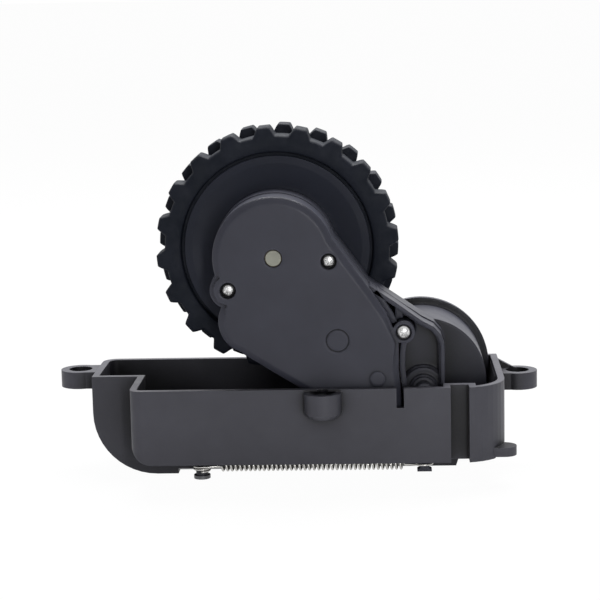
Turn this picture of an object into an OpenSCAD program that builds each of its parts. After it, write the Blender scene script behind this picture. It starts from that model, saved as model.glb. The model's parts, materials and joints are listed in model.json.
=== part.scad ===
// Drive wheel module of a floor robot: a tray, a swinging gearbox arm and a lugged wheel.
// X runs along the tray, Y from the front wall to the back, Z up from the underside.
// The origin lies on the underside, below the wheel axle, in the middle plane of the wheel.

/* [Wheel] */
// Outer diameter over the tread lugs
wheel_d = 65; // [62:0.5:66]
// Width of the tread
wheel_w = 19; // [17:0.5:19.5]
// Height of the tread lugs
lug_h = 2.4; // [1.5:0.1:3]
// Number of lugs in each of the two rows
lug_count = 20; // [16:1:24]
// Diameter of the hub disc
hub_d = 49.4; // [44:0.2:51]
// Wall thickness of the hub
hub_wall = 1.8; // [1.2:0.1:2.4]
// Diameter of the steel axle
axle_d = 4; // [3.5:0.1:4.4]

/* [Arm] */
// Distance of the pivot from the wheel axle along X
pivot_dx = 38.3; // [37.8:0.1:38.8]
// Height of the pivot above the underside
pivot_z = 25.4; // [25:0.1:26.4]
// Height of the wheel axle above the pivot
axle_rise = 35.4; // [35:0.1:35.8]
// Angle that the wheel swings into the tray
swing_angle = 31; // [20:1:31]
// Depth of the gearbox from front to back
gearbox_depth = 17.7; // [17:0.1:18.5]
// Depth of the front cover
cover_depth = 9.5; // [9:0.1:10]
// Wall thickness of the gearbox
case_wall = 1.8; // [1.4:0.1:2]
// Radius of the rounded head of the gearbox
head_r = 15.8; // [15.2:0.1:16.4]
// Outer diameter of the motor drum
drum_d = 33.8; // [32:0.2:34.6]
// Outer diameter of the rim at the back of the drum
rim_d = 37.6; // [35.6:0.2:37.8]
// Depth of the motor drum behind the gearbox
drum_depth = 19.6; // [19:0.1:19.7]
// Diameter of the front trunnion
trunnion_d = 4.6; // [4:0.1:5]
// Diameter of the rear trunnion
cap_trunnion_d = 8; // [6:0.2:10]

/* [Gears] */
// Width of the gear rims
gear_w = 2.4; // [2:0.1:2.5]
// Diameter of the steel gear pins
pin_d = 1.8; // [1.5:0.1:2]
// Diameter of the motor can
motor_d = 24.4; // [20:0.1:25]

/* [Tray] */
// Left outer face of the rear compartment
tray_left = 50.7; // [50:0.1:53]
// Left outer face of the front compartment
front_left = 38.2; // [36:0.1:40]
// Right outer face
tray_right = 59.6; // [59.4:0.1:62]
// Height of the rim
tray_h = 27; // [26.8:0.1:28]
// Height of the front compartment's underside
front_base = 7.2; // [6.8:0.1:7.4]
// Wall thickness
tray_wall = 1.8; // [1.4:0.1:2]
// Thickness of the floors
floor_t = 1.6; // [1.2:0.1:1.8]
// Radius of the rear compartment's lower corner
corner_r = 17; // [12:0.5:18]
// Outer diameter of the two fixing ears
ear_d = 10.8; // [10:0.1:12]
// Diameter of the ear holes
ear_hole_d = 6.4; // [5:0.1:7]
// Thickness of the ears
ear_t = 4.6; // [3.5:0.1:5]
// Diameter of the boss on the front wall
boss_d = 9.8; // [9:0.1:11]
// Diameter of the hole in the front boss
boss_hole_d = 3.4; // [2.5:0.1:3.8]

/* [Spring] */
// Outer diameter of the tension spring
spring_d = 3.4; // [3:0.1:3.6]
// Diameter of the spring wire
wire_d = 0.6; // [0.5:0.05:0.6]
// Number of turns
spring_turns = 40; // [30:1:44]

/* [Screws] */
// Diameter of the screw heads
head_d = 3.5; // [3.2:0.1:3.7]
// Height of the screw heads
head_t = 1.3; // [1:0.1:1.6]
// Diameter of the screw shanks
shank_d = 1.9; // [1.6:0.1:2]

/* [Fits] */
// Radial clearance of turning and pressed fits
fit_gap = 0.04; // [0.02:0.01:0.08]
// Gap between faces that pass each other
face_gap = 0.3; // [0.2:0.05:0.4]
// Gap between the wheel and the parts beside it
wheel_gap = 1.1; // [0.8:0.1:1.4]

/* [Hidden] */
round_fn = 96;
joint_fn = 48;
small_fn = 32;
cut = 0.5;

charcoal = [0.26, 0.26, 0.28];
graphite = [0.22, 0.22, 0.25];
black = [0.12, 0.13, 0.16];
steel = [0.72, 0.72, 0.74];
bronze = [0.62, 0.46, 0.28];
acetal = [0.86, 0.85, 0.80];

// Places along Y, from the wheel outwards
wheel_front = -wheel_w / 2;
wheel_back = wheel_w / 2;
case_back = wheel_front - wheel_gap;
case_front = case_back - gearbox_depth;
split_y = case_front + cover_depth;
front_y = case_front - 1.4 - tray_wall;
back_y = wheel_back + wheel_gap + 0.1 + tray_wall;
recess_y = case_back - tray_wall + 0.2;
rim_front = case_back + drum_depth - 2;
rim_back = case_back + drum_depth;
drum_front = case_back - 3.6;
web_front = case_front + 7.6;
strip_front = case_front + 4.8;

// Places in the plane of the arm, measured from the pivot
axle_at = [-pivot_dx, axle_rise];
screw_l = axle_at + [-11.9, -8.2];
screw_m = axle_at + [14.2, -1];
screw_r = [-5.1, 15.5];
chin_at = [-44.6, 18.9];
chin_r = 8.4;
bulge_r = 4.8;
screw_boss_r = 2.9;
belly_r = 16.2;
case_right = 5.4;
boss_r = 2;

// Gear modules, teeth and centres
module_a = 0.5;
module_b = 0.6;
module_c = 0.8;
pinion_z = 10;
one_big_z = 40;
one_small_z = 14;
two_big_z = 34;
two_small_z = 12;
three_big_z = 30;
three_small_z = 12;
output_z = 28;
gear_one_at = polar(module_a * (pinion_z + one_big_z) / 2, 163.4);
gear_two_at = gear_one_at + polar(module_b * (one_small_z + two_big_z) / 2, 135);
gear_three_at = third_corner(axle_at, gear_two_at,
    module_c * (three_small_z + output_z) / 2, module_b * (two_small_z + three_big_z) / 2);
layer_gap = 0.5;
layer_one = case_back - case_wall - 0.7;
layer_two = layer_one - gear_w - layer_gap;
layer_three = layer_two - gear_w - layer_gap;
layer_four = layer_three - gear_w - layer_gap;
output_w = 3;
axle_r = axle_d / 2;
pin_r = pin_d / 2;
bush_r = axle_r + 1.6;

function polar(r, a) = [r * cos(a), r * sin(a)];
function unit(v) = v / norm(v);
function angle_of(v) = atan2(v[1], v[0]);
// The point at distance ra from a and rb from b, on the left of the line from b to a
function third_corner(a, b, ra, rb) =
    let (d = norm(b - a), u = (b - a) / d, s = (ra * ra - rb * rb + d * d) / (2 * d))
    a + u * s + [u[1], -u[0]] * sqrt(ra * ra - s * s);
// An anticlockwise polygon moved inwards by d
function inset(p, d) = [for (i = [0 : len(p) - 1])
    let (b = p[i], u = unit(b - p[(i + len(p) - 1) % len(p)]), v = unit(p[(i + 1) % len(p)] - b),
        n = [-u[1], u[0]], m = [-v[1], v[0]])
    b + (n + m) * d / (1 + n * m)];
function arc(c, r, a0, a1, n = 12) = [for (i = [0 : n]) c + polar(r, a0 + (a1 - a0) * i / n)];

// Helpers that stand a flat outline up in the X-Z plane between two places along Y
module slab(y0, y1) {
    translate([0, y1, 0]) rotate([90, 0, 0]) linear_extrude(y1 - y0) children();
}
module rod(r, y0, y1, at = [0, 0], fn = joint_fn) {
    translate([at[0], y1, at[1]]) rotate([90, 0, 0]) cylinder(r = r, h = y1 - y0, $fn = fn);
}
// A revolved profile about the Y axis, whose points are [radius, -y]
module turned(at = [0, 0], fn = round_fn) {
    translate([at[0], 0, at[1]]) rotate([90, 0, 0]) rotate_extrude($fn = fn) children();
}
module to_pivot() {
    translate([pivot_dx, 0, pivot_z]) children();
}

// Involute gear outline with backlash taken from the flanks
backlash = 0.12;
function involute(rb, r) = let (t = sqrt(max(0, pow(r / rb, 2) - 1))) t * 180 / PI - atan(t);
module gear_outline(m, z, phase) {
    pitch_r = m * z / 2;
    base_r = pitch_r * cos(20);
    root_r = pitch_r - 1.2 * m;
    tip_r = pitch_r + 0.95 * m;
    start_r = max(base_r, root_r);
    half = 90 / z - backlash / 4 / pitch_r * 180 / PI + involute(base_r, pitch_r);
    steps = [0, 0.35, 0.7, 1];
    flank = [for (s = steps) let (r = start_r + (tip_r - start_r) * s) [r, half - involute(base_r, r)]];
    tooth = concat([[root_r, half + 0.3]], flank);
    points = [for (i = [0 : z - 1]) let (c = phase + 360 * i / z)
        each concat(
            [for (q = tooth) polar(q[0], c - q[1])],
            [for (k = [len(tooth) - 1 : -1 : 0]) polar(tooth[k][0], c + tooth[k][1])])];
    polygon(points);
}
// Phase that puts a gear of zb teeth in mesh with one of za teeth and the phase pa, b seen from a at angle t
function mesh_phase(za, pa, zb, t) = t + 180 - (0.5 - (t - pa) * za / 360) * 360 / zb;

// Gearbox outline drawn in by d
case_body = [[-26.4, 44.6], [-33, 44], [-48, 30], [-52.6, 19], [-49.6, 12.9], [-46.7, 10.4],
    polar(belly_r - 0.05, 237.4), [-4.5, -15.4], [-6.5, 6], [-6.4, 13], [-9.4, 20.6], [-13.6, 26.8]];
module case_outline(d = 0) {
    translate(axle_at) circle(head_r - d, $fn = round_fn);
    translate(screw_l) circle(bulge_r - d, $fn = joint_fn);
    translate(chin_at) circle(chin_r - d, $fn = joint_fn);
    translate(screw_r) circle(max(screw_boss_r - d, 0.4), $fn = joint_fn);
    polygon(inset(case_body, d));
}
// The rear half also holds the shoulder over the pivot
shoulder = [[case_right, -14], [case_right, 11.8], [4.6, 14.3], [2.8, 16.4], [-0.3, 18], [-14.2, 27.6],
    [-20, 27], [-20, -6], [-8.8, -13.7], [-4, -15.6], [1, -16]];
module base_outline(d = 0) {
    case_outline(d);
    polygon(inset(shoulder, d));
}

module gearbox_base() {
    color(graphite) to_pivot() difference() {
        union() {
            difference() {
                union() {
                    slab(split_y, case_back) base_outline(-0.3);
                    difference() {
                        slab(strip_front, case_back) intersection() {
                            polygon(shoulder);
                            translate([-7.2, -30]) square([40, 80]);
                        }
                        slab(strip_front - cut, split_y) case_outline(-face_gap);
                    }
                    rod(drum_d / 2, drum_front, rim_front + cut, fn = round_fn);
                    rod(rim_d / 2, rim_front, rim_back, fn = round_fn);
                }
                slab(split_y - cut, case_back - case_wall) case_outline(case_wall);
                slab(web_front + case_wall, case_back - case_wall) intersection() {
                    polygon(inset(shoulder, case_wall));
                    translate([-9, -30]) square([40, 80]);
                }
                slab(strip_front - cut, web_front) intersection() {
                    polygon(inset(shoulder, 1.4));
                    translate([-6.6 + 1.4, -30]) square([40, 80]);
                }
                rod(drum_d / 2 - case_wall, case_back, rim_back + cut, fn = round_fn);
            }
            pivot_steps();
            for (s = [screw_l, screw_m, screw_r]) rod(boss_r, split_y, case_back - case_wall / 2, s);
            for (p = [gear_one_at, gear_two_at, gear_three_at])
                rod(pin_r + 1.2, case_back - case_wall - 0.4, case_back - case_wall / 2, p);
            rod(bush_r + 1.2, case_back - case_wall - 0.4, case_back - case_wall / 2, axle_at);
            motor_ribs();
            difference() {
                spring_arm();
                slab(case_front, split_y) case_outline(-face_gap);
            }
        }
        rod(bush_r, case_back - case_wall - cut, case_back + cut, axle_at);
        for (p = [gear_one_at, gear_two_at, gear_three_at])
            rod(pin_r, case_back - case_wall - cut, case_back - 0.4, p);
        for (s = [screw_l, screw_m, screw_r]) rod(shank_d / 2, split_y - cut, case_back - 1, s, small_fn);
        rod(motor_nose_r + fit_gap, case_back - case_wall - cut, case_back + cut);
        for (s = [-1, 1])
            rod(shank_d / 2 + 0.15, case_back - case_wall - cut, case_back + cut, motor_hole(s), small_fn);
        for (s = [-1, 1]) rod(cap_hole_r, rim_back - 7, rim_back + cut, cap_hole(s), small_fn);
    }
}
// Concentric steps that carry the front trunnion
module pivot_steps() {
    steps = [[5.7, 1.2], [5.2, 2.2], [3.6, 3.4], [3.1, 4.4]];
    for (s = steps) rod(s[0], web_front - s[1], web_front + case_wall / 2);
    rod(trunnion_d / 2, case_front - 0.9, web_front + case_wall / 2);
}
// The arm below the pivot that the spring pulls
lug_r = 20.4;
lug_y = case_front + 5.3;
lug_t = 2.2;
module spring_arm() {
    neck = lug_t / 2;
    slab(lug_y - lug_t / 2, lug_y + lug_t / 2)
        polygon([[-2.2, -9], [-2.2, -lug_r + 2], [-neck, -lug_r + 1.2], [-neck, -lug_r - 1], [-1.9, -lug_r - 1.4],
            [-1.9, -lug_r - 2], [1.9, -lug_r - 2], [1.9, -lug_r - 1.4], [neck, -lug_r - 1], [neck, -lug_r + 1.2],
            [2.2, -lug_r + 2], [3.6, -14], [3.6, -9]]);
    slab(lug_y - lug_t / 2, split_y + cut)
        polygon([[-6, -14.6], [-2.2, -15.6], [3.6, -15], [3.6, -11.6], [-6, -11.6]]);
}
motor_nose_r = 3.1;
motor_hole_r = 8.2;
function motor_hole(s) = polar(motor_hole_r * s, 100);
cap_hole_r = shank_d / 2;
cap_boss_r = 1.9;
function cap_hole(s) = polar((drum_d / 2 - case_wall - 0.5) * s, 0);
module motor_ribs() {
    for (a = [30 : 60 : 330]) rotate([0, -a, 0])
        translate([motor_d / 2 + fit_gap, case_back - cut, -0.7])
            cube([(drum_d - motor_d) / 2 - fit_gap - case_wall / 2, 14, 1.4]);
    for (s = [-1, 1]) rod(cap_boss_r, case_back - cut, rim_back - 2, cap_hole(s));
}

module gearbox_cover() {
    inner_front = case_front + case_wall;
    color(charcoal) to_pivot() difference() {
        union() {
            difference() {
                union() {
                    slab(case_front, split_y - face_gap / 2) case_outline(0.9);
                    slab(case_front + 1, split_y - face_gap / 2) case_outline();
                }
                slab(inner_front, split_y + cut) case_outline(case_wall);
            }
            for (s = [screw_l, screw_m, screw_r])
                rod(boss_r + 0.2, inner_front - cut, split_y - face_gap / 2, s);
            for (p = [gear_one_at, gear_two_at, gear_three_at])
                rod(pin_r + 1.2, inner_front - cut, inner_front + 0.8, p);
            rod(bush_r + 1.2, inner_front - cut, inner_front + 0.8, axle_at);
            rod(1.95, case_front - 0.5, case_front + cut, gear_one_at);
        }
        for (s = [screw_l, screw_m, screw_r]) {
            rod(head_d / 2 + 0.35, case_front - cut, case_front + head_t + 0.5, s);
            rod(shank_d / 2 + 0.15, case_front - cut, split_y + cut, s, small_fn);
        }
        rod(axle_r + 0.3, case_front - cut, inner_front + cut, axle_at);
        rod(bush_r, case_front + 1, inner_front + 2, axle_at);
        for (p = [gear_one_at, gear_two_at, gear_three_at]) rod(pin_r, inner_front - 0.8, inner_front + 2, p);
        translate([gear_two_at[0], 0, gear_two_at[1]]) difference() {
            rod(3.1, case_front - cut, case_front + 0.3);
            rod(2.7, case_front - 2 * cut, case_front + cut);
        }
    }
}

// Pan head screw with a cross recess, head at the front, running back along Y
module pan_screw(length) {
    difference() {
        union() {
            turned(fn = small_fn) polygon([[0, head_t * 0.2], [0, head_t], [head_d * 0.28, head_t],
                [head_d / 2, head_t * 0.45], [head_d / 2, 0], [0, 0]]);
            rod(shank_d / 2 - fit_gap, -0.01, length, fn = small_fn);
        }
        for (a = [0, 90]) rotate([0, a + 20, 0]) translate([-1, -head_t - cut, -0.22]) cube([2, cut + 0.7, 0.44]);
    }
}
module cover_screws() {
    seat = case_front + head_t + 0.5;
    color(steel) to_pivot() for (s = [screw_l, screw_m, screw_r])
        translate([s[0], seat, s[1]]) pan_screw(case_back - 1.5 - seat);
}

motor_len = 16;
module motor() {
    back = case_back + motor_len;
    color(steel) to_pivot() difference() {
        union() {
            turned(fn = joint_fn) polygon([[0, -case_back], [motor_d / 2 - 0.8, -case_back],
                [motor_d / 2, -case_back - 0.8],
                [motor_d / 2, -back + 0.6], [motor_d / 2 - 0.6, -back], [0, -back]]);
            rod(motor_nose_r, case_back - 1.4, case_back + cut);
            for (s = [-1, 1]) translate([s * 6 - 0.4, back - cut, -1.2]) cube([0.8, 2.5, 2.4]);
        }
        rod(shaft_r + fit_gap, case_back - 3, back - 2);
        for (s = [-1, 1]) rod(shank_d / 2, case_back - cut, case_back + 3, motor_hole(s), small_fn);
    }
}
shaft_r = 1;
module motor_shaft() {
    color(steel) to_pivot() rod(shaft_r, layer_one - gear_w - 0.3, case_back + motor_len - 2.2);
}
module motor_screws() {
    color(steel) to_pivot() for (s = [-1, 1])
        translate([motor_hole(s)[0], case_back - case_wall, motor_hole(s)[1]])
            flat_screw(4.2);
}
// Thin flat head screw that clears the first gear
module flat_screw(length) {
    rod(head_d / 2, -0.45, 0, fn = small_fn);
    rod(shank_d / 2 - fit_gap, -0.2, length, fn = small_fn);
}

module motor_cap() {
    spigot_r = drum_d / 2 - case_wall - fit_gap;
    color(black) to_pivot() difference() {
        union() {
            rod(rim_d / 2 - 1.2, rim_back, rim_back + 1, fn = round_fn);
            difference() {
                rod(spigot_r, rim_back - 1.8, rim_back + cut, fn = round_fn);
                rod(spigot_r - 1.4, rim_back - 2.8, rim_back, fn = round_fn);
                for (s = [-1, 1]) rod(cap_boss_r + 0.4, rim_back - 3, rim_back, cap_hole(s));
            }
            rod(cap_trunnion_d / 2, rim_back, back_y - 0.1);
        }
        rod(cap_trunnion_d / 2 - 1.5, rim_back + 1, back_y + cut);
        for (s = [-1, 1]) rod(shank_d / 2 + 0.15, rim_back - 3, rim_back + 1 + cut, cap_hole(s), small_fn);
    }
}
module cap_screws() {
    color(steel) to_pivot() for (s = [-1, 1])
        translate([cap_hole(s)[0], rim_back + 1, cap_hole(s)[1]]) mirror([0, 1, 0]) flat_screw(6);
}

// Gears, each on its own pin
t_one = angle_of(gear_one_at);
t_two = angle_of(gear_two_at - gear_one_at);
t_three = angle_of(gear_three_at - gear_two_at);
t_out = angle_of(axle_at - gear_three_at);
module toothed(m, z, phase, y0, w) {
    slab(y0 - w, y0) gear_outline(m, z, phase);
}
module motor_pinion() {
    color(bronze) to_pivot() difference() {
        toothed(module_a, pinion_z, 0, layer_one, gear_w);
        rod(shaft_r + fit_gap, layer_one - 5, layer_one + 1);
    }
}
module compound(at, m_big, z_big, phase_big, y_big, m_small, z_small, y_small, w_small) {
    color(acetal) to_pivot() translate([at[0], 0, at[1]]) difference() {
        union() {
            toothed(m_big, z_big, phase_big, y_big, gear_w);
            toothed(m_small, z_small, 0, y_small, w_small);
            rod(pin_r + 0.9, y_small - w_small - 0.2, y_big + 0.1);
        }
        rod(pin_r + fit_gap, case_front, case_back);
        difference() {
            rod(m_big * z_big / 2 - 2.2 * m_big - 0.8, y_big - 0.7, y_big + 1);
            rod(pin_r + 1.6, y_big - 1, y_big + 2);
        }
    }
}
module gear_one() {
    compound(gear_one_at, module_a, one_big_z, mesh_phase(pinion_z, 0, one_big_z, t_one), layer_one,
        module_b, one_small_z, layer_one - gear_w + 0.01, gear_w + layer_gap);
}
module gear_two() {
    compound(gear_two_at, module_b, two_big_z, mesh_phase(one_small_z, 0, two_big_z, t_two), layer_two,
        module_b, two_small_z, layer_two - gear_w + 0.01, gear_w + layer_gap);
}
module gear_three() {
    compound(gear_three_at, module_b, three_big_z, mesh_phase(two_small_z, 0, three_big_z, t_three), layer_three,
        module_c, three_small_z, layer_three - gear_w + 0.01, output_w + layer_gap);
}
module gear_pin(at) {
    color(steel) to_pivot() rod(pin_r - 0.005, case_front + case_wall - 0.7, case_back - 0.5, at, small_fn);
}
module pin_one() { gear_pin(gear_one_at); }
module pin_two() { gear_pin(gear_two_at); }
module pin_three() { gear_pin(gear_three_at); }

// Parts that turn with the wheel, drawn about its own axis
module to_axle() {
    to_pivot() translate([axle_at[0], 0, axle_at[1]]) children();
}
flat_x = axle_r - 0.6;
module output_gear() {
    color(acetal) to_axle() difference() {
        union() {
            toothed(module_c, output_z, mesh_phase(three_small_z, 0, output_z, t_out), layer_four, output_w);
            rod(axle_r + 2, layer_four - output_w - 0.2, layer_two);
        }
        rod(axle_r + fit_gap, case_front, case_back);
        for (a = [0 : 60 : 300]) rod(1.7, case_front, case_back, polar(7.4, a));
    }
}
module axle() {
    color(steel) to_axle() difference() {
        rod(axle_r, case_front + 0.2, hub_face - 0.2);
        rod(shank_d / 2, hub_face - 8, hub_face + cut, fn = small_fn);
        translate([flat_x, hub_face - 9, -axle_r - 1]) cube([axle_r, 10, 2 * axle_r + 2]);
    }
}
module bush(y0, y1) {
    color(bronze) to_axle() difference() {
        rod(bush_r - 0.005, y0, y1);
        rod(axle_r + fit_gap, y0 - 1, y1 + 1);
    }
}
module front_bush() { bush(case_front + 1.05, case_front + case_wall + 0.8); }
module rear_bush() { bush(case_back - case_wall - 0.4, case_back - 0.05); }

// Wheel
seat_r = hub_d / 2 - 0.9;
groove_r = hub_d / 2 + 0.9;
seat_front = wheel_front + 2;
tyre_out_r = wheel_d / 2 - lug_h;
hub_face = wheel_back - 3;
hub_disc = wheel_front + 0.4;
module wheel_hub() {
    r = hub_d / 2;
    boss = axle_r + 2.2;
    color(black) to_axle() difference() {
        union() {
            turned() polygon([[0, -hub_disc - 0.8], [r - 8, -hub_disc - 0.5], [r - 2, -hub_disc],
                [r, -hub_disc], [r, -seat_front], [seat_r, -seat_front], [seat_r, -wheel_back + 1.6],
                [seat_r - hub_wall, -wheel_back + 1.6], [seat_r - hub_wall, -hub_disc - hub_wall - 0.8],
                [0, -hub_disc - hub_wall - 0.8]]);
            rod(boss, hub_disc + 0.6, hub_face);
            for (a = [0 : 60 : 300]) rotate([0, -a, 0]) translate([boss - 0.4, hub_disc + 1, -0.8])
                cube([r - hub_wall - boss, wheel_w - 5, 1.6]);
            turned() polygon([[11, -hub_disc - 1], [12.4, -hub_disc - 1], [12.4, -hub_face + 2],
                [11, -hub_face + 2]]);
        }
        difference() {
            rod(axle_r + fit_gap, wheel_front - 1, hub_face + 1);
            translate([flat_x + fit_gap, hub_face - 8.5, -axle_r - 1]) cube([axle_r, 10, 2 * axle_r + 2]);
        }
    }
}
module tyre() {
    r = wheel_d / 2;
    lug_half = 360 / lug_count * 0.27;
    lug_root = 360 / lug_count * 0.36;
    edge = 1;
    color(black) to_axle() union() {
        turned() polygon([[seat_r + fit_gap, -seat_front - fit_gap], [groove_r, -seat_front - fit_gap],
            [groove_r, -wheel_front - 0.9], [groove_r + 0.7, -wheel_front], [tyre_out_r - 1, -wheel_front],
            [tyre_out_r, -wheel_front - 0.8], [tyre_out_r, -wheel_back + 0.8], [tyre_out_r - 1, -wheel_back],
            [groove_r + 0.7, -wheel_back], [seat_r + fit_gap, -wheel_back + 1.6]]);
        intersection() {
            turned() polygon([[tyre_out_r - 2, -wheel_front], [r - edge, -wheel_front],
                [r, -wheel_front - edge], [r, -wheel_back + edge], [r - edge, -wheel_back],
                [tyre_out_r - 2, -wheel_back]]);
            for (row = [0, 1]) for (i = [0 : lug_count - 1]) {
                a = 360 / lug_count * (i + row / 2 + lug_start);
                slab(row == 0 ? wheel_front - 1 : 0.2, row == 0 ? -0.2 : wheel_back + 1)
                    polygon([polar(tyre_out_r - 0.6, a - lug_root), polar(r + 0.4, a - lug_half),
                        polar(r + 0.4, a + lug_half), polar(tyre_out_r - 0.6, a + lug_root)]);
            }
        }
    }
}
lug_start = 0.34;
module wheel_screw() {
    color(steel) to_axle() translate([0, hub_face, 0]) mirror([0, 1, 0]) {
        rod(4, -0.8, 0, fn = small_fn);
        translate([0, -0.8, 0]) pan_screw(7);
    }
}

// Tray
right_r = rim_d / 2 + 0.6;
pocket_flat = 8;
module pocket_profile(d, f) {
    cr = corner_r - d;
    polygon(concat([[-tray_left + d, tray_h + (d > 0 ? cut : 0)]],
        arc([-tray_left + corner_r, corner_r + f - d], cr, 180, 270),
        [[pocket_flat, f], [pivot_dx - 12, pivot_z - right_r + 5 + f], [pivot_dx - 12, tray_h + (d > 0 ? cut : 0)]]));
}
module rear_profile(d, f) {
    top = tray_h + (d > 0 ? cut : 0);
    pocket_profile(d, f);
    translate([pivot_dx, pivot_z]) circle(right_r + tray_wall - d, $fn = round_fn);
    translate([0, pivot_z]) square([tray_right - d, top - pivot_z]);
}
module front_profile(d, f) {
    top = tray_h + (d > 0 ? cut : 0);
    polygon(concat([[-front_left + d, top]],
        arc([-front_left + 5.5, front_base + f + 5.5 - d], 5.5 - d, 180, 270, 6),
        [[tray_right - 3, front_base + f], [tray_right - d, front_base + f + 3 - d], [tray_right - d, top]]));
}
channel_x = pivot_dx + 6.7;
channel_w = 4.8;
channel_deep = 4;
front_round = 12;
module rear_plan(d) {
    polygon(concat([[tray_right - d, back_y - d], [-tray_left + 4, back_y - d]],
        arc([-tray_left + 4, back_y - 4], 4 - d, 90, 180, 6),
        [[-tray_left + d, recess_y + d], [tray_right - d, recess_y + d]]));
}
module front_plan(d) {
    c = [tray_right - front_round, front_y + front_round];
    difference() {
        polygon(concat([[tray_right - d, recess_y + 3], [-front_left + d, recess_y + 3]],
            arc([-front_left + 3, front_y + 3], 3 - d, 180, 270, 6),
            arc(c, front_round - d, 270, 360, 10)));
        translate([channel_x - d, front_y - 5]) square([channel_w + 2 * d, channel_deep + 5 + d]);
    }
}
ear_y = 2;
left_ear_z = 26.4;
right_ear_z = 24.6;
left_ear_x = -tray_left - ear_d / 2 + 0.2;
right_ear_x = tray_right + ear_d / 2 - 0.4;
module ear(x, top, side) {
    translate([x, ear_y, top - ear_t]) {
        cylinder(d = ear_d, h = ear_t, $fn = joint_fn);
        translate([side > 0 ? -ear_d / 2 - 1 : 0, -ear_d / 2 + 0.4, 0]) cube([ear_d / 2 + 1, ear_d - 0.8, ear_t]);
    }
}
saddle_z = pivot_z - trunnion_d / 2 - fit_gap;
post_x = -20.5;
post_y = lug_y;
spring_z = pivot_z - lug_r;
slot_left = pivot_dx - 2.2 - face_gap;
slot_right = pivot_dx + lug_r * sin(swing_angle) + 3;
module tray() {
    color(charcoal) difference() {
        union() {
            intersection() {
                slab(recess_y, back_y) rear_profile(0, 0);
                linear_extrude(tray_h) rear_plan(0);
            }
            intersection() {
                slab(front_y, recess_y + 2) front_profile(0, 0);
                linear_extrude(tray_h) front_plan(0);
            }
            ear(left_ear_x, left_ear_z, -1);
            ear(right_ear_x, right_ear_z, 1);
            right_gusset();
            front_boss();
            spring_post();
            lower_tab();
            foot_ribs();
        }
        difference() {
            union() {
                intersection() {
                    slab(recess_y + tray_wall, back_y - tray_wall) rear_profile(tray_wall, floor_t + 0.6);
                    linear_extrude(tray_h + 2) rear_plan(tray_wall);
                }
                intersection() {
                    slab(front_y + tray_wall, recess_y + tray_wall + 0.1) front_profile(tray_wall, floor_t);
                    linear_extrude(tray_h + 2) front_plan(tray_wall);
                }
            }
            saddle();
        }
        ear_hole(left_ear_x, left_ear_z);
        ear_hole(right_ear_x, right_ear_z);
        front_boss_hole();
        to_pivot() rod(cap_trunnion_d / 2 + fit_gap, back_y - tray_wall - cut, back_y + cut);
        translate([pivot_dx - cap_trunnion_d / 2 - fit_gap, back_y - tray_wall - cut, pivot_z])
            cube([cap_trunnion_d + 2 * fit_gap, tray_wall + 2 * cut, 10]);
        to_pivot() rod(trunnion_d / 2 + fit_gap, front_y + tray_wall, front_y + 6);
        translate([pivot_dx - trunnion_d / 2 - fit_gap, front_y + tray_wall, pivot_z])
            cube([trunnion_d + 2 * fit_gap, 4, 10]);
        translate([31.1, front_y - cut, 21.9]) cube([1.9, tray_wall + 2 * cut, 10]);
        translate([slot_left, lug_y - lug_t / 2 - 0.5, front_base - cut])
            cube([slot_right - slot_left, lug_t + 1, floor_t + 2 * cut]);
        relief();
        to_pivot() rod(drum_d / 2 + 2 * face_gap, drum_front - 2 * face_gap, recess_y + 2, fn = round_fn);
    }
}
// Relief along the lower front edge of the wheel pocket
module relief() {
    translate([-28, 0, 0]) rotate([90, 0, 90]) linear_extrude(70)
        polygon([[recess_y - 1, -1], [recess_y + 4.2, -1], [recess_y + 4.2, 0], [recess_y, 1.4], [recess_y - 1, 1.4]]);
}
module saddle() {
    translate([pivot_dx - 5, front_y + tray_wall - cut, front_base + 1])
        cube([10, cut + 1.1, tray_h - front_base - 2.4]);
}
module ear_hole(x, top) {
    translate([x, ear_y, top - ear_t - 1]) cylinder(d = ear_hole_d, h = ear_t + 2, $fn = joint_fn);
}
module right_gusset() {
    translate([tray_right - 0.6, ear_y + 2.4, 0]) rotate([90, 0, 0]) mirror([0, 0, 1]) linear_extrude(1.8)
        polygon([[0, right_ear_z - ear_t], [5, right_ear_z - ear_t], [5, right_ear_z], [0.6, tray_h], [0, tray_h]]);
}
boss_x = 12.1;
boss_y = front_y - 0.8;
boss_top = tray_h - 0.6;
module front_boss_hole() {
    translate([boss_x, boss_y, boss_top - 5]) cylinder(d = boss_hole_d, h = 6, $fn = joint_fn);
    translate([boss_x, boss_y, boss_top - 0.8])
        cylinder(d1 = boss_hole_d, d2 = boss_d - 2.6, h = 0.81, $fn = joint_fn);
}
// Ribs under the drum cradle that the module stands on
module foot_ribs() {
    for (y = [-7, back_y - 4]) slab(y, y + 1.8) polygon([[pivot_dx - 12, 0], [pivot_dx + 9, 0],
        [pivot_dx + 12, pivot_z - right_r + 3], [pivot_dx - 15, pivot_z - right_r + 5]]);
}
module front_boss() {
    translate([boss_x, boss_y, 0]) {
        translate([0, 0, tray_h - 6]) cylinder(d = boss_d, h = 5.4, $fn = joint_fn);
        translate([0, 0, tray_h - 7.2]) cylinder(d1 = boss_d - 2.6, d2 = boss_d, h = 1.2, $fn = joint_fn);
    }
}
module spring_post() {
    translate([post_x, post_y, spring_z - 2.4])
        cylinder(r = post_r, h = front_base - spring_z + 2.4 + cut, $fn = joint_fn);
}
module lower_tab() {
    translate([tray_right - 6, front_y + 7, front_base + 0.4]) {
        translate([5.6, 0, 0]) cylinder(d = 6.4, h = 2.4, $fn = joint_fn);
        translate([0, -3.2, 0]) cube([5.6, 6.4, 2.4]);
    }
}
module post_screw() {
    color(steel) translate([post_x, post_y, spring_z - 2.4 - 0.9]) {
        cylinder(d = 4.4, h = 0.9, $fn = small_fn);
    }
}

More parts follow.
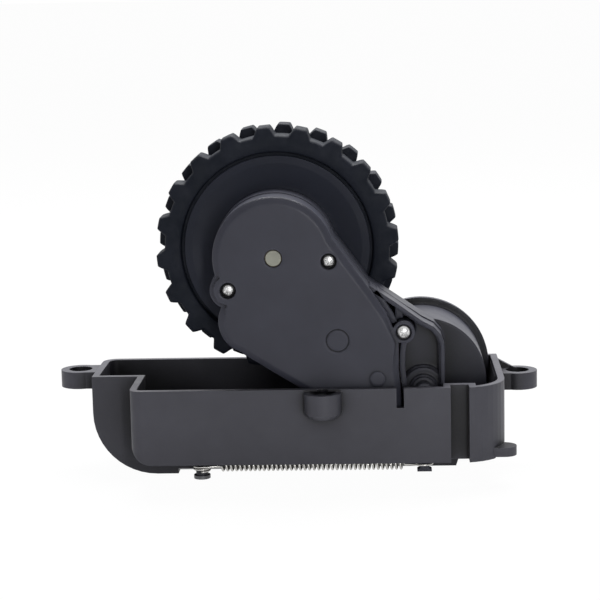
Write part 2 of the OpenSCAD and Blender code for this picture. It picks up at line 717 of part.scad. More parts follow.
// Spring
coil_r = (spring_d - wire_d) / 2;
coil_x0 = post_x + 5.4;
coil_x1 = pivot_dx - 5.2;
per_turn = 10;
post_r = 1.6;
hook_r = post_r + wire_d / 2 + 0.12;
lug_hook_r = norm([lug_t, lug_t]) / 2 + wire_d / 2 + 0.2;
wrap_step = 24;
wrap_rise = (wire_d + 0.06) * wrap_step / 360;
function coil_point(i) = let (t = i / (spring_turns * per_turn), a = 180 + 360 * i / per_turn)
    [coil_x0 + (coil_x1 - coil_x0) * t, post_y + coil_r * cos(a), spring_z + coil_r * sin(a)];
// Two turns round the post, the coil, then one turn round the neck of the lug
spring_path = concat(
    [for (i = [0 : 30]) let (a = -90 + wrap_step * i)
        [post_x + hook_r * cos(a), post_y + hook_r * sin(a), spring_z - 30 * wrap_rise + wrap_rise * i]],
    [[post_x + 1.6, post_y - hook_r + 0.1, spring_z],
        [post_x + 3.6, post_y - coil_r - 0.15, spring_z + 0.1]],
    [for (i = [0 : spring_turns * per_turn]) coil_point(i)],
    [[coil_x1 + 1.4, post_y - coil_r - 0.15, spring_z + 0.1],
        [pivot_dx - 1.4, lug_y - lug_hook_r + 0.05, spring_z]],
    [for (i = [0 : 12]) let (a = -90 + wrap_step * i)
        [pivot_dx + lug_hook_r * cos(a), lug_y + lug_hook_r * sin(a), spring_z]]);
function sweep_frames(p) = [for (i = 0, t = unit(p[1] - p[0]), n = unit(cross(t, [0, 0.3, 1])); i < len(p);
    i = i + 1, t = unit(p[min(i + 1, len(p) - 1)] - p[max(min(i, len(p)) - 1, 0)]),
    n = unit(n - t * (n * t))) [n, cross(t, n)]];
module wire(p, r, sides) {
    f = sweep_frames(p);
    ring = [for (i = [0 : len(p) - 1]) each [for (k = [0 : sides - 1])
        p[i] + r * (f[i][0] * cos(360 * k / sides) + f[i][1] * sin(360 * k / sides))]];
    last = (len(p) - 1) * sides;
    skin = [for (i = [0 : len(p) - 2]) for (k = [0 : sides - 1])
        let (a = i * sides + k, b = i * sides + (k + 1) % sides)
        each [[a, b, b + sides], [a, b + sides, a + sides]]];
    start_cap = [for (k = [0 : sides - 1]) sides - 1 - k];
    end_cap = [for (k = [0 : sides - 1]) last + k];
    polyhedron(ring, concat([start_cap], skin, [end_cap]));
}
module tension_spring() {
    color(steel) wire(spring_path, wire_d / 2, 5);
}

tray();
post_screw();
tension_spring();
gearbox_base();
gearbox_cover();
cover_screws();
motor();
motor_screws();
motor_cap();
cap_screws();
motor_shaft();
motor_pinion();
pin_one();
pin_two();
pin_three();
gear_one();
gear_two();
gear_three();
output_gear();
axle();
front_bush();
rear_bush();
wheel_hub();
tyre();
wheel_screw();
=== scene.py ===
# %% [markdown]
# # The looks of a robot vacuum's drive wheel module
#
# The real object is a small moulded tray that carries a swinging gearbox arm with a lugged wheel. Its
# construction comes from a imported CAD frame, which is already in the right place and size. This lesson
# gives it a camera, soft studio light and procedural finishes, and builds the pieces whose surface is
# too soft or too fine for the frame: the rubber tread and the wire of the spring.

# %% Load the frame
import json
import math

import bpy
import numpy as np
from mathutils import Matrix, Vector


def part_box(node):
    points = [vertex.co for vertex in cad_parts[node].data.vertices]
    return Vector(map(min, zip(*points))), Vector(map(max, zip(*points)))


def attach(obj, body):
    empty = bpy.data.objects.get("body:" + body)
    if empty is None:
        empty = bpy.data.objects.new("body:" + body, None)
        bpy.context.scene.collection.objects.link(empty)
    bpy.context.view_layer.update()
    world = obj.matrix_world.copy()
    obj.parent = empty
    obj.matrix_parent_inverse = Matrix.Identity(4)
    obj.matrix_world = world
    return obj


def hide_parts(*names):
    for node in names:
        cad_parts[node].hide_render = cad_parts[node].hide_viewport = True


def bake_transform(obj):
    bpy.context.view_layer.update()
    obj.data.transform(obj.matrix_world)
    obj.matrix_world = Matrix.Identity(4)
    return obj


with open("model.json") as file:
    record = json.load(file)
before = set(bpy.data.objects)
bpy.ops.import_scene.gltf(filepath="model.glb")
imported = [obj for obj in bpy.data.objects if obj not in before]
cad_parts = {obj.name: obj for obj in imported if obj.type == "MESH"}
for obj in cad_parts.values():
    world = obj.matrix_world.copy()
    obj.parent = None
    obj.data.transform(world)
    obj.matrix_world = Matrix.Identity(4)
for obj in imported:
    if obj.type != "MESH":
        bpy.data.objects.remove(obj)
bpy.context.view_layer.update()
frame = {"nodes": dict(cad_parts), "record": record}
MM = 0.001
nodes = frame["nodes"]
print("nodes in the frame:", len(nodes))

# %% [markdown]
# ## The camera
#
# The photograph was taken with a long lens, a little above the tray and slightly from the right. A
# camera is three unit vectors and a place. Working them out from three angles keeps every number
# readable: how far it looks down, how far to the left, and how far it is rolled.

# %% Place the camera
LENS_MM = 108.57
SENSOR_MM = 36.0
CAMERA_AT = np.array([26.85, -486.8, 127.4]) * MM
DOWN, LEFT, ROLL = np.radians([9.58, 2.52, -1.27])


def camera_axes(down, left, roll):
    """Right, up and back of a camera: forward from the two angles, then a turn about it by roll."""
    forward = np.array([-math.sin(left) * math.cos(down), math.cos(left) * math.cos(down), -math.sin(down)])
    level = np.array([math.cos(left), math.sin(left), 0.0])
    above = np.cross(level, forward)
    right = level * math.cos(roll) + above * math.sin(roll)
    up = above * math.cos(roll) - level * math.sin(roll)
    return right, up, -forward


camera = bpy.data.objects.new("camera", bpy.data.cameras.new("camera"))
bpy.context.scene.collection.objects.link(camera)
pose = np.eye(4)
pose[:3, :3] = np.array(camera_axes(DOWN, LEFT, ROLL)).T
pose[:3, 3] = CAMERA_AT
camera.matrix_world = Matrix(pose)
camera.data.lens = LENS_MM
camera.data.sensor_width = SENSOR_MM
camera.data.sensor_fit = "HORIZONTAL"
camera.data.clip_start = 0.02
camera.data.clip_end = 400
bpy.context.scene.camera = camera
bpy.context.scene.view_settings.view_transform = "Standard"
print("camera looks down by", round(math.degrees(DOWN), 2), "degrees")

# %% [markdown]
# ## Nodes in short lines
#
# Every finish below is a small network of shader nodes. Two helpers keep them short: one adds a node
# and fills its sockets, with a link where the value is another node's socket, and one starts a
# material with its surface shader. All patterns read Object coordinates, so they stay on the part.


# %% Helpers for shader nodes
def add_node(tree, kind, sockets=None, **settings):
    """Adds a node, sets its settings, and fills each socket with a value or links it to a socket."""
    made = tree.nodes.new("ShaderNode" + kind)
    for key, value in settings.items():
        setattr(made, key, value)
    for key, value in (sockets or {}).items():
        if isinstance(value, bpy.types.NodeSocket):
            tree.links.new(value, made.inputs[key])
        else:
            made.inputs[key].default_value = value
    return made


def start_finish(name, **sockets):
    """A new material whose Principled shader has the given socket values."""
    material = bpy.data.materials.new(name)
    material.use_nodes = True
    shader = material.node_tree.nodes["Principled BSDF"]
    for key, value in sockets.items():
        shader.inputs[key.replace("_", " ")].default_value = value
    return material, material.node_tree, shader


def noise(tree, place, size_mm, detail=3.0, roughness=0.55):
    """Noise whose patches are about size_mm wide on Object coordinates."""
    return add_node(tree, "TexNoise", {"Vector": place, "Scale": 1 / (size_mm * MM), "Detail": detail,
                                       "Roughness": roughness}).outputs["Fac"]


def remap(tree, value, low, high, to_low, to_high):
    """A straight line from one range of values to another, held at its ends."""
    return add_node(tree, "MapRange", {"Value": value, "From Min": low, "From Max": high,
                                       "To Min": to_low, "To Max": to_high}).outputs["Result"]


# %% [markdown]
# ## A white room
#
# The photograph has a plain white ground. The floor and the world are white only where the camera, a
# mirror or a glass looks at them, and the light itself stays low. The shadow stays on the floor,
# because only part of its colour comes from that white.

# %% Floor and world
FLOOR_SIZE = 160.0
GROUND = -0.0002


def seen_directly(tree):
    """1 for rays of the camera and for reflections and refractions, 0 for light on the object."""
    path = add_node(tree, "LightPath").outputs
    either = add_node(tree, "Math", {0: path["Is Camera Ray"], 1: path["Is Glossy Ray"]}, operation="MAXIMUM")
    return add_node(tree, "Math", {0: either.outputs[0], 1: path["Is Transmission Ray"]},
                    operation="MAXIMUM").outputs[0]


half = FLOOR_SIZE / 2
floor_mesh = bpy.data.meshes.new("floor")
floor_mesh.from_pydata([(-half, -half, GROUND), (half, -half, GROUND), (half, half, GROUND),
                        (-half, half, GROUND)], [], [(0, 1, 2, 3)])
floor = bpy.data.objects.new("floor", floor_mesh)
bpy.context.scene.collection.objects.link(floor)

floor_paint, tree, shader = start_finish("floor_paint", Roughness=0.9)
shader.inputs["Base Color"].default_value = (0.9, 0.9, 0.9, 1)
glow = add_node(tree, "Emission", {"Color": (1, 1, 1, 1), "Strength": 1.0})
share = add_node(tree, "Math", {0: seen_directly(tree), 1: 0.975}, operation="MULTIPLY")
blend_floor = add_node(tree, "MixShader", {0: share.outputs[0], 1: shader.outputs[0], 2: glow.outputs[0]})
tree.links.new(blend_floor.outputs[0], tree.nodes["Material Output"].inputs["Surface"])
floor_mesh.materials.append(floor_paint)

world = bpy.data.worlds.new("room")
bpy.context.scene.world = world
world.use_nodes = True
tree = world.node_tree
room = tree.nodes["Background"]
room_light = add_node(tree, "MapRange", {"Value": seen_directly(tree), "To Min": 0.045, "To Max": 1.0})
tree.links.new(room_light.outputs["Result"], room.inputs["Strength"])
room.inputs["Color"].default_value = (1, 1, 1, 1)
print("floor is", FLOOR_SIZE, "m wide")

# %% [markdown]
# ## Soft light
#
# Product photographs of black plastic are lit by a wide box above, which draws the pale lines on every
# upper edge, and by one in front and to the left, which keeps the front faces from going black. Nothing
# lights the recesses, so they stay nearly black, as in the photograph.
# The moulded finishes also paint shade into the recesses, which darkens them further.


# %% Lamps
def soft_box(name, place, target, width, depth, power):
    """A rectangular lamp at place, turned to face target."""
    lamp = bpy.data.objects.new(name, bpy.data.lights.new(name, "AREA"))
    lamp.data.shape = "RECTANGLE"
    lamp.data.size = width
    lamp.data.size_y = depth
    lamp.data.energy = power
    bpy.context.scene.collection.objects.link(lamp)
    away = np.array(place) - np.array(target)
    away = away / np.linalg.norm(away)
    side = np.cross([0.0, 1.0, 0.001], away)
    side = side / np.linalg.norm(side)
    frame_axes = np.eye(4)
    frame_axes[:3, 0], frame_axes[:3, 1], frame_axes[:3, 2] = side, np.cross(away, side), away
    frame_axes[:3, 3] = place
    lamp.matrix_world = Matrix(frame_axes)
    return lamp


PART = (0.0, 0.0, 0.04)
soft_box("box_above", (0.05, 0.30, 0.70), PART, 0.7, 0.4, 13.0)
soft_box("box_front", (0.22, -0.95, 0.045), PART, 0.8, 0.07, 5.4)

# %% [markdown]
# ## Moulded plastic
#
# All the dark plastic here comes out of an eroded mould: a very fine grain, a satin gloss that changes
# a little from place to place, and edges that are slightly rounded and catch the light. The rounding
# comes from a Bevel node, which bends the normal near an edge, and the same node tells where the edge
# is, so that the rub marks stay on it. Shade is painted into the colour as well: the part's own hollows
# and creases, found by ambient occlusion, are darkened towards near black.


# %% A finish for moulded plastic
def moulded(name, colour, gloss, shine=0.22, grain_mm=0.35, grain_depth=0.012, edge_mm=0.35, rub=0.5):
    """Grain by noise into a bump, gloss by broad noise, paler worn edges by the bent normal, and painted shade in
    hollows.
    """
    material, tree, shader = start_finish(name, Specular_IOR_Level=shine)
    place = add_node(tree, "TexCoord").outputs["Object"]
    edge = add_node(tree, "Bevel", {"Radius": edge_mm * MM}, samples=6).outputs["Normal"]
    fine = noise(tree, place, grain_mm)
    bump = add_node(tree, "Bump", {"Strength": 0.6, "Distance": grain_depth * MM, "Height": fine,
                                   "Normal": edge})
    tree.links.new(bump.outputs["Normal"], shader.inputs["Normal"])
    flat = add_node(tree, "NewGeometry").outputs["Normal"]
    likeness = add_node(tree, "VectorMath", {0: edge, 1: flat}, operation="DOT_PRODUCT").outputs["Value"]
    worn = remap(tree, likeness, 0.995, 0.86, 0.0, rub)
    broken = remap(tree, noise(tree, place, 2.2, 5.0), 0.35, 0.62, 0.25, 1.0)
    wear = add_node(tree, "Math", {0: worn, 1: broken}, operation="MULTIPLY").outputs[0]
    cloud = remap(tree, noise(tree, place, 14.0, 4.0), 0.3, 0.7, 0.0, 1.0)
    dark = tuple(c * 0.88 for c in colour)
    pale = tuple(c * 1.1 for c in colour)
    body = add_node(tree, "Mix", {0: cloud, 6: (*dark, 1), 7: (*pale, 1)}, data_type="RGBA").outputs[2]
    # Painted shade: where ambient occlusion finds the part's own hollows and creases closed in, the colour is mixed
    # towards a tenth of itself, near black.
    open_share = add_node(tree, "AmbientOcclusion", {"Distance": 30 * MM}, samples=8, only_local=True).outputs["AO"]
    shade = remap(tree, open_share, 0.5, 0.96, 0.0, 1.0)
    painted_shade_colour = tuple(c * 0.1 for c in colour)
    body = add_node(tree, "Mix", {0: shade, 6: (*painted_shade_colour, 1), 7: body}, data_type="RGBA").outputs[2]
    rubbed = tuple(min(1.0, c * 2.1 + 0.02) for c in colour)
    final = add_node(tree, "Mix", {0: wear, 6: body, 7: (*rubbed, 1)}, data_type="RGBA").outputs[2]
    tree.links.new(final, shader.inputs["Base Color"])
    sheen_patch = remap(tree, noise(tree, place, 6.0, 4.0), 0.3, 0.7, gloss - 0.05, gloss + 0.06)
    tree.links.new(sheen_patch, shader.inputs["Roughness"])
    return material


tray_plastic = moulded("tray_plastic", (0.052, 0.052, 0.064), 0.44)
case_plastic = moulded("case_plastic", (0.032, 0.033, 0.046), 0.40, edge_mm=0.9)
wheel_plastic = moulded("wheel_plastic", (0.008, 0.010, 0.019), 0.46, shine=0.16, grain_mm=0.5)
gear_plastic = moulded("gear_plastic", (0.74, 0.72, 0.66), 0.38, edge_mm=0.12, rub=0.1)
print("moulded finishes: 4")

# %% [markdown]
# ## Rubber
#
# The tread is a matt, slightly blue-black rubber. It carries a dusty bloom in patches, and its grain is
# coarser than that of the plastic, with tiny pits where air was trapped in the mould.


# %% A finish for the tread
def tread_rubber():
    """Two sizes of noise for bloom and grain, and small cells for pits, all into colour and bump."""
    material, tree, shader = start_finish("tyre_rubber", Specular_IOR_Level=0.16)
    place = add_node(tree, "TexCoord").outputs["Object"]
    edge = add_node(tree, "Bevel", {"Radius": 0.5 * MM}, samples=6).outputs["Normal"]
    grain = noise(tree, place, 0.45, 4.0, 0.7)
    cells = add_node(tree, "TexVoronoi", {"Vector": place, "Scale": 1 / (1.3 * MM)})
    pits = remap(tree, cells.outputs["Distance"], 0.0, 0.16, 0.0, 1.0)
    height = add_node(tree, "Math", {0: grain, 1: pits}, operation="MULTIPLY").outputs[0]
    bump = add_node(tree, "Bump", {"Strength": 0.7, "Distance": 0.03 * MM, "Height": height, "Normal": edge})
    tree.links.new(bump.outputs["Normal"], shader.inputs["Normal"])
    bloom = remap(tree, noise(tree, place, 9.0, 5.0), 0.38, 0.68, 0.0, 1.0)
    skin = add_node(tree, "Mix", {0: bloom, 6: (0.004, 0.006, 0.011, 1), 7: (0.009, 0.011, 0.018, 1)},
                    data_type="RGBA").outputs[2]
    tree.links.new(skin, shader.inputs["Base Color"])
    dull = remap(tree, noise(tree, place, 3.0, 4.0), 0.3, 0.7, 0.58, 0.76)
    tree.links.new(dull, shader.inputs["Roughness"])
    return material


tyre_rubber = tread_rubber()

# %% [markdown]
# ## Metals
#
# The screws are plated and bright, the motor can is zinc plated with a cloudy spangle, the bushes are
# sintered bronze with open pores, and the axle's end is ground to a dull pale face. One function with a
# colour, a gloss and a scratch size serves them all.


# %% A finish for metals
def metal(name, colour, gloss, mark_mm=0.4, mark_depth=0.004, cloud_mm=3.0, metallic=1.0, contrast=0.18):
    """Metal whose gloss and tone drift with broad noise, and whose surface has fine tool marks."""
    material, tree, shader = start_finish(name, Metallic=metallic)
    place = add_node(tree, "TexCoord").outputs["Object"]
    marks = noise(tree, place, mark_mm, 5.0, 0.65)
    bump = add_node(tree, "Bump", {"Strength": 0.5, "Distance": mark_depth * MM, "Height": marks})
    tree.links.new(bump.outputs["Normal"], shader.inputs["Normal"])
    cloud = remap(tree, noise(tree, place, cloud_mm, 4.0), 0.3, 0.7, 0.0, 1.0)
    dark = tuple(c * (1 - contrast) for c in colour)
    tone = add_node(tree, "Mix", {0: cloud, 6: (*dark, 1), 7: (*colour, 1)}, data_type="RGBA").outputs[2]
    tree.links.new(tone, shader.inputs["Base Color"])
    drift = remap(tree, marks, 0.3, 0.7, gloss - 0.06, gloss + 0.08)
    tree.links.new(drift, shader.inputs["Roughness"])
    return material


bright_steel = metal("bright_steel", (0.62, 0.62, 0.62), 0.34, mark_mm=0.25, mark_depth=0.01)
motor_steel = metal("motor_steel", (0.62, 0.62, 0.64), 0.34, cloud_mm=1.6)
spring_steel = metal("spring_steel", (0.50, 0.49, 0.47), 0.30, mark_mm=0.2)
dark_steel = metal("dark_steel", (0.10, 0.10, 0.105), 0.38)
axle_steel = metal("axle_steel", (0.24, 0.24, 0.20), 0.55, mark_mm=0.15, mark_depth=0.01, metallic=0.15)
bronze = metal("bronze", (0.075, 0.062, 0.045), 0.55, mark_mm=0.12, mark_depth=0.03, cloud_mm=0.8)

# %% [markdown]
# ## Finishes on the nodes of the frame
#
# The record names a slot for every node, and the finishes above carry the same names, so one loop
# dresses the whole frame.

# %% Dress the nodes
finishes = dict(tray_plastic=tray_plastic, case_plastic=case_plastic, wheel_plastic=wheel_plastic,
                gear_plastic=gear_plastic, tyre_rubber=tyre_rubber, bright_steel=bright_steel,
                motor_steel=motor_steel, spring_steel=spring_steel, dark_steel=dark_steel,
                axle_steel=axle_steel, bronze=bronze)
for part in frame["record"]["subparts"]:
    mesh = nodes[part["node"]].data
    mesh.materials.clear()
    mesh.materials.append(finishes[part["material_slot"]])

# %% [markdown]
# ## Surfaces from arrays
#
# A surface is a grid of points with rows and columns, and its faces follow from the grid's shape alone.
# Both are worked out as whole arrays, so a piece with thousands of faces takes a moment.


# %% Helpers for grids
def grid_faces(rows, columns, close_rows=False, close_columns=False):
    """Four corners for each cell of a grid, with the last row or column joined to the first if closed."""
    i = np.arange(rows if close_rows else rows - 1)[:, None]
    j = np.arange(columns if close_columns else columns - 1)[None, :]
    i2, j2 = (i + 1) % rows, (j + 1) % columns
    return np.stack([i * columns + j, i * columns + j2, i2 * columns + j2, i2 * columns + j], -1).reshape(-1, 4)


def capped(rows, columns, flip=False):
    """The faces of a closed bar: a grid whose columns join up, and one face over each end."""
    faces = grid_faces(rows, columns, close_columns=True).tolist()
    faces += [list(range(columns))[::-1], [(rows - 1) * columns + k for k in range(columns)]]
    return [face[::-1] for face in faces] if flip else faces


def make_piece(name, points, faces, finish, smooth=True):
    """A mesh object from an array of points in metres and a list of faces, with one finish."""
    mesh = bpy.data.meshes.new(name)
    mesh.from_pydata(np.asarray(points).reshape(-1, 3).tolist(), [], [list(map(int, f)) for f in faces])
    mesh.polygons.foreach_set("use_smooth", np.full(len(mesh.polygons), smooth))
    mesh.materials.append(finish)
    mesh.update()
    piece = bpy.data.objects.new(name, mesh)
    bpy.context.scene.collection.objects.link(piece)
    return piece


print("grid helpers are ready")

# %% [markdown]
# ## The tread
#
# The rubber tyre has two rows of blocks, set half a step apart. Each block has slanted flanks, a rounded
# shoulder at the side of the tyre and soft corners from the mould. Two cross sections describe it all: one
# through a groove and one through a block. Going round the wheel, every section is a blend of the two, and
# the share of the block rises and falls along its flanks. The front row follows one share and the back row
# the same share half a step later.

# %% Sections of the tyre
low, high = (np.array(corner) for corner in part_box("tyre"))
AXLE = np.array([0.0, 60.8]) * MM
TYRE_R = 32.5 * MM
TYRE_W = high[1] - low[1]
BLOCK_H = 2.4 * MM
GROOVE_R = TYRE_R - BLOCK_H
BEAD_R = 25.6 * MM
SEAT_R = 23.84 * MM
SEAT_IN = 2.0 * MM
side = TYRE_W / 2
steps_mm = np.array([[-1.0, 0.0], [-0.62, 0.1], [-0.2, 0.42], [0.0, 0.9], [0.0, 3.0], [0.0, 5.2], [0.0, 7.6],
                     [0.0, side / MM - 0.75], [0.0, side / MM - 0.4], [0.0, side / MM - 0.22]])
soft_mm = np.array([[-1.15, 0.0], [-0.66, 0.12], [-0.22, 0.5], [-0.02, 1.1], [0.0, 3.0], [0.0, 5.2], [0.0, 7.6],
                    [-0.02, side / MM - 0.75], [-0.16, side / MM - 0.36], [-0.5, side / MM - 0.2]])
inner_mm = np.array([[0.0, 0.9], [0.25, 0.28], [0.8, 0.0], [2.2, 0.0]])


def half_section(shoulder, top):
    """Radius and depth from the side, from the bead over the shoulder to just before the middle."""
    inner = inner_mm * MM + [BEAD_R, 0]
    return np.concatenate([inner, shoulder * MM + [top, 0]])


groove_half = half_section(steps_mm, GROOVE_R)
block_half = half_section(soft_mm, TYRE_R)
print("points in half a section:", len(block_half))

# %% Sweep the tyre
BLOCKS = 20
FIRST_BLOCK = 0.3
TOP_HALF = 0.14
ROOT_HALF = 0.31
quarter = np.array([0.0, 0.05, 0.1, 0.14, 0.165, 0.19, 0.205, 0.22, 0.235, 0.25])
phases = np.concatenate([quarter, 0.5 - quarter[-2::-1]])
phases = np.concatenate([phases, phases[1:-1] + 0.5])
turns = (np.arange(BLOCKS)[:, None] + FIRST_BLOCK + phases[None, :]).ravel() / BLOCKS


def block_share(turn, shift):
    """1 on a block, 0 in a groove, and a smooth step along the flank, counted in steps of the tread."""
    from_middle = np.abs((turn * BLOCKS - shift + 0.5) % 1 - 0.5)
    rise = np.clip((ROOT_HALF - from_middle) / (ROOT_HALF - TOP_HALF), 0, 1)
    return rise * rise * (3 - 2 * rise) * 0.5 + rise * 0.5


def swept_tyre():
    """A closed section for every turn: front half, middle, back half in mirror, and the seat inside."""
    front = block_share(turns, FIRST_BLOCK)[:, None, None]
    back = block_share(turns, FIRST_BLOCK + 0.5)[:, None, None]
    front_half = groove_half + front * (block_half - groove_half)
    back_half = (groove_half + back * (block_half - groove_half))[:, ::-1]
    front_yr = np.stack([front_half[..., 1] - side, front_half[..., 0]], -1)
    back_yr = np.stack([side - back_half[..., 1], back_half[..., 0]], -1)
    middle = np.broadcast_to([0.0, GROOVE_R], (len(turns), 1, 2))
    seat = np.broadcast_to([[side - 1.6 * MM, SEAT_R], [SEAT_IN - side, SEAT_R], [SEAT_IN - side, BEAD_R]],
                           (len(turns), 3, 2))
    y, r = np.moveaxis(np.concatenate([front_yr, middle, back_yr, seat], axis=1), -1, 0)
    angle = 2 * np.pi * turns[:, None]
    return np.stack([AXLE[0] + r * np.cos(angle), y, AXLE[1] + r * np.sin(angle)], -1)


tyre_points = swept_tyre()
tread = make_piece("tread", tyre_points, grid_faces(*tyre_points.shape[:2], True, True), tyre_rubber)
tread.data.set_sharp_from_angle(angle=math.radians(38))
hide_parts("tyre")
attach(tread, "wheel")
print("tyre sections:", len(turns), "faces:", len(tread.data.polygons))

# %% [markdown]
# ## The spring's wire
#
# A tension spring is one wire: two turns round the post under the tray, a long close coil, and a loop
# round the lug of the arm. Its middle line is three formulas joined end to end, and a tube follows it. A
# round tube needs a frame that doesn't twist, so each ring keeps the last ring's direction, made square to
# the wire again.

# %% Middle line of the spring
COIL_AT = np.array([-23.0, 5.0]) * MM
COIL_X = np.array([-15.1, 33.1]) * MM
COIL_R = 1.4 * MM
WIRE_R = 0.3 * MM
POST_X = -20.5 * MM
POST_R = 2.02 * MM
LUG_X = 38.3 * MM
LUG_R = 2.056 * MM
TURNS = 40
STEPS = 18
HOOK_STEP = 0.044 * MM


def helix(count, per_turn):
    """Points of a coil along X: a circle in Y and Z while X goes from one end to the other."""
    t = np.arange(count * per_turn + 1) / (count * per_turn)
    a = np.pi + 2 * np.pi * count * t
    return np.stack([COIL_X[0] + (COIL_X[1] - COIL_X[0]) * t, COIL_AT[0] + COIL_R * np.cos(a),
                     COIL_AT[1] + COIL_R * np.sin(a)], -1)


def loop(x, radius, angles, lift):
    """Points round an upright post at x, with a lift for each step."""
    a = np.radians(angles)
    return np.stack([x + radius * np.cos(a), COIL_AT[0] + radius * np.sin(a), COIL_AT[1] + lift], -1)


hook_angles = -90 + 12 * np.arange(61)
post_loop = loop(POST_X, POST_R, hook_angles, HOOK_STEP / 2 * (np.arange(61) - 60))
lug_loop = loop(LUG_X, LUG_R, -90 + 12 * np.arange(25), np.zeros(25))
tail_out = np.array([[POST_X + 1.6 * MM, COIL_AT[0] - POST_R + 0.1 * MM, COIL_AT[1]],
                     [POST_X + 3.6 * MM, COIL_AT[0] - COIL_R - 0.15 * MM, COIL_AT[1] + 0.1 * MM]])
tail_in = np.array([[COIL_X[1] + 1.4 * MM, COIL_AT[0] - COIL_R - 0.15 * MM, COIL_AT[1] + 0.1 * MM],
                    [LUG_X - 1.4 * MM, COIL_AT[0] - LUG_R + 0.05 * MM, COIL_AT[1]]])
spring_line = np.concatenate([post_loop, tail_out, helix(TURNS, STEPS), tail_in, lug_loop])
length = np.linalg.norm(np.diff(spring_line, axis=0), axis=1).sum()
print("wire length:", round(length / MM), "mm")


# %% Tube along the line
def tube(line, radius, sides):
    """Rings of points square to the line, whose first direction is carried along without twist."""
    tangent = np.gradient(line, axis=0)
    tangent /= np.linalg.norm(tangent, axis=1)[:, None]
    normal = np.empty_like(line)
    carried = np.array([0.0, 0.3, 1.0])
    for i, along in enumerate(tangent):
        carried = carried - along * np.dot(carried, along)
        carried = carried / np.linalg.norm(carried)
        normal[i] = carried
    across = np.cross(tangent, normal)
    a = 2 * np.pi * np.arange(sides) / sides
    circle = np.cos(a)[None, :, None] * normal[:, None, :] + np.sin(a)[None, :, None] * across[:, None, :]
    return line[:, None, :] + radius * circle


WIRE_SIDES = 8
wire_points = tube(spring_line, WIRE_R, WIRE_SIDES)
rings = len(spring_line)
spring = make_piece("spring_wire", wire_points, capped(rings, WIRE_SIDES), spring_steel)
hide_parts("tension_spring")
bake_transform(spring)
print("rings of the wire:", rings)


# %% [markdown]
# ## Ribs on the shoulder
#
# The rear half of the gearbox ends in a shoulder over the pivot, with a pale ledge on top and a thin rib
# that follows the edge of the cover down past the right screw. They are thin mouldings, so each is a flat
# ribbon: a path in the plane of the arm, given a thickness to both sides and a depth along Y.

# %% Ribbons
PIVOT = np.array([38.3, 25.4]) * MM
CASE_FRONT = -28.3 * MM
LEDGE_FRONT = CASE_FRONT + 3 * MM
SPLIT = CASE_FRONT + 9.7 * MM


def ribbon(name, path_mm, thickness, front, back):
    """A bar whose section is thickness by depth, carried along a path measured from the pivot in mm."""
    middle = PIVOT + np.array(path_mm) * MM
    along = np.gradient(middle, axis=0)
    along /= np.linalg.norm(along, axis=1)[:, None]
    outward = np.stack([-along[:, 1], along[:, 0]], -1) * thickness / 2
    one, other = middle + outward, middle - outward
    corners = [(one, front), (one, back), (other, back), (other, front)]
    points = np.stack([np.stack([p[:, 0], np.full(len(p), y), p[:, 1]], -1) for p, y in corners], 1)
    piece = make_piece(name, points, capped(len(middle), 4, flip=True), case_plastic, smooth=False)
    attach(piece, "arm")
    return piece


LEDGE_T = 1.0 * MM
RIB_T = 1.4 * MM
ribbon("shoulder_ledge", [[-13.9, 27.05], [-7.4, 22.6], [-0.5, 17.6], [2.5, 16.0], [4.2, 14.0], [4.95, 11.7],
                          [4.95, 1.0]], LEDGE_T, LEDGE_FRONT, SPLIT)
ribbon("cover_rib_high", [[-12.3, 26.0], [-10.4, 23.2], [-8.4, 20.0], [-7.4, 17.8]], RIB_T, LEDGE_FRONT, SPLIT)
ribbon("cover_rib_low", [[-4.9, 12.9], [-5.4, 10.0], [-5.5, 6.0], [-5.0, 1.0]], RIB_T, LEDGE_FRONT, SPLIT)
print("ribbons:", 3)

# %% [markdown]
# ## The screws of the cover
#
# The heads are domed and carry a cross recess, which is what makes them glitter. A screw is a profile
# turned about its axis. On the dome the height also drops inside a cross: the drop is deepest in the
# middle and ends where the arms of the cross end.

# %% Domed screws
SCREWS_MM = np.array([[-50.2, 27.2], [-24.1, 34.4], [-5.1, 15.5]])
SCREW_TURNS = np.radians([20.0, 50.0, 38.0])
SCREW_SEAT = CASE_FRONT + 1.8 * MM
HEAD_R, HEAD_H, SHANK_R, SHANK_L = np.array([1.75, 1.3, 0.91, 14.4]) * MM
ARM_HALF, ARM_LONG, ARM_DEEP = np.array([0.36, 1.3, 0.9]) * MM


def screw_points(centre, turned_by):
    """Rows from the top of the dome to the tip, with the cross sunk into the first rows."""
    dome_r = np.linspace(0.02, 1, 40) ** 0.9 * HEAD_R
    dome_h = HEAD_H * np.sqrt(1 - (dome_r / (1.09 * HEAD_R)) ** 2)
    r = np.concatenate([dome_r, [HEAD_R, SHANK_R, SHANK_R, 0.3 * MM]])[:, None]
    h = np.concatenate([dome_h, [0, 0, -SHANK_L + 0.5 * MM, -SHANK_L]])[:, None]
    a = 2 * np.pi * np.arange(96)[None, :] / 96
    x, z = r * np.cos(a), r * np.sin(a)
    inside = np.clip((ARM_HALF + 0.05 * MM - np.minimum(abs(x), abs(z))) / (0.08 * MM), 0, 1)
    fade = np.clip((ARM_LONG - r) / (0.35 * MM), 0, 1)
    sunk = np.where(np.arange(len(r))[:, None] < len(dome_r), ARM_DEEP * inside * fade, 0)
    a = a + turned_by
    return np.stack([centre[0] + r * np.cos(a), SCREW_SEAT - (h - sunk), centre[1] + r * np.sin(a)], -1)


screws = np.stack([screw_points(PIVOT + at * MM, turn) for at, turn in zip(SCREWS_MM, SCREW_TURNS)])
per_screw = screws.shape[1] * screws.shape[2]
one_screw = capped(*screws.shape[1:3], flip=True)
screw_faces = [[k * per_screw + v for v in face] for k in range(len(screws)) for face in one_screw]
cover_screw_set = make_piece("cover_screw_set", screws, screw_faces, bright_steel)
cover_screw_set.data.set_sharp_from_angle(angle=math.radians(40))
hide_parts("cover_screws")
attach(cover_screw_set, "arm")
print("screws:", len(screws))

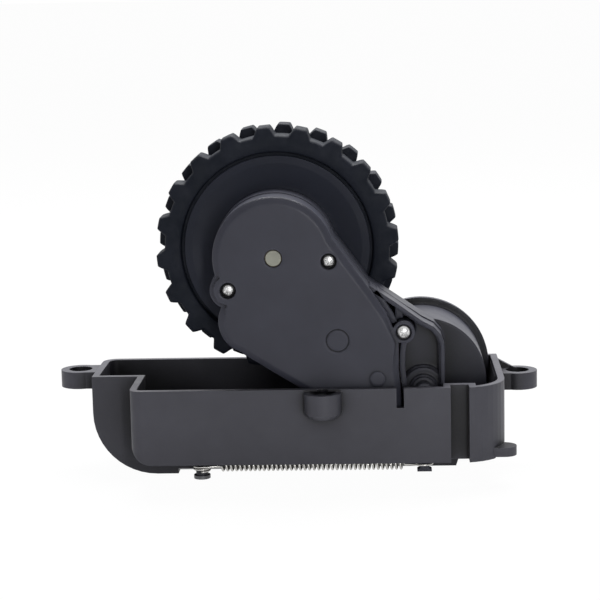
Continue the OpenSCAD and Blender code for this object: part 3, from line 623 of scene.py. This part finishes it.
# %% [markdown]
# ## The bevel of the cover
#
# In the frame the front of the cover ends in a step, 1 mm high and 0.9 mm in from the edge. The real
# moulding has a broad bevel there, which catches the light. So the cover's triangles are read, equal
# corners are merged, and two loops move: the top of the step goes further in, against the normals of
# the step's wall, and its foot comes forward. Both move less near the outer screws, where the front is
# narrow.

# %% Bevelled cover
STEP = CASE_FRONT + 1 * MM
BEVEL_IN = 0.8 * MM
BEVEL_OUT = 0.58 * MM
TOUCH = 0.02 * MM
cad_cover = nodes["gearbox_cover"].data
corners = np.empty((len(cad_cover.vertices), 3), np.float32)
cad_cover.vertices.foreach_get("co", corners.ravel())
cad_cover.calc_loop_triangles()
triangles = np.empty((len(cad_cover.loop_triangles), 3), np.int32)
cad_cover.loop_triangles.foreach_get("vertices", triangles.ravel())
corners, merged = np.unique(corners, axis=0, return_inverse=True)
triangles = merged.ravel()[triangles]
a, b, c = (corners[triangles[:, k]] for k in range(3))
normals = np.cross(b - a, c - a)
normals /= np.maximum(np.linalg.norm(normals, axis=1), 1e-20)[:, None]
depths = np.stack([a[:, 1], b[:, 1], c[:, 1]], 1)
from_axle = np.linalg.norm(a[:, [0, 2]] - AXLE, axis=1)
wall = (abs(depths.min(1) - CASE_FRONT) < TOUCH) & (abs(depths.max(1) - STEP) < TOUCH) & (from_axle > 5 * MM)
away = np.zeros_like(corners)
for k in range(3):
    np.add.at(away, triangles[wall, k], normals[wall])
reach = np.linalg.norm(away, axis=1)
away /= np.maximum(reach, 1e-9)[:, None]
near_screw = np.min([np.linalg.norm(corners[:, [0, 2]] - (PIVOT + SCREWS_MM[k] * MM), axis=1) for k in (0, 2)], 0)
share = np.clip((near_screw - 3.3 * MM) / (2.5 * MM), 0, 1)
top = (reach > 0) & (abs(corners[:, 1] - CASE_FRONT) < TOUCH)
foot = (reach > 0) & (abs(corners[:, 1] - STEP) < TOUCH)
corners[top] -= (away * share[:, None] * BEVEL_IN)[top]
corners[foot, 1] -= (share * BEVEL_OUT)[foot]
bevelled_cover = make_piece("bevelled_cover", corners, triangles, case_plastic)
bevelled_cover.data.set_sharp_from_angle(angle=math.radians(25))
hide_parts("gearbox_cover")
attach(bevelled_cover, "arm")
print("corners moved:", int(top.sum()), "and", int(foot.sum()))
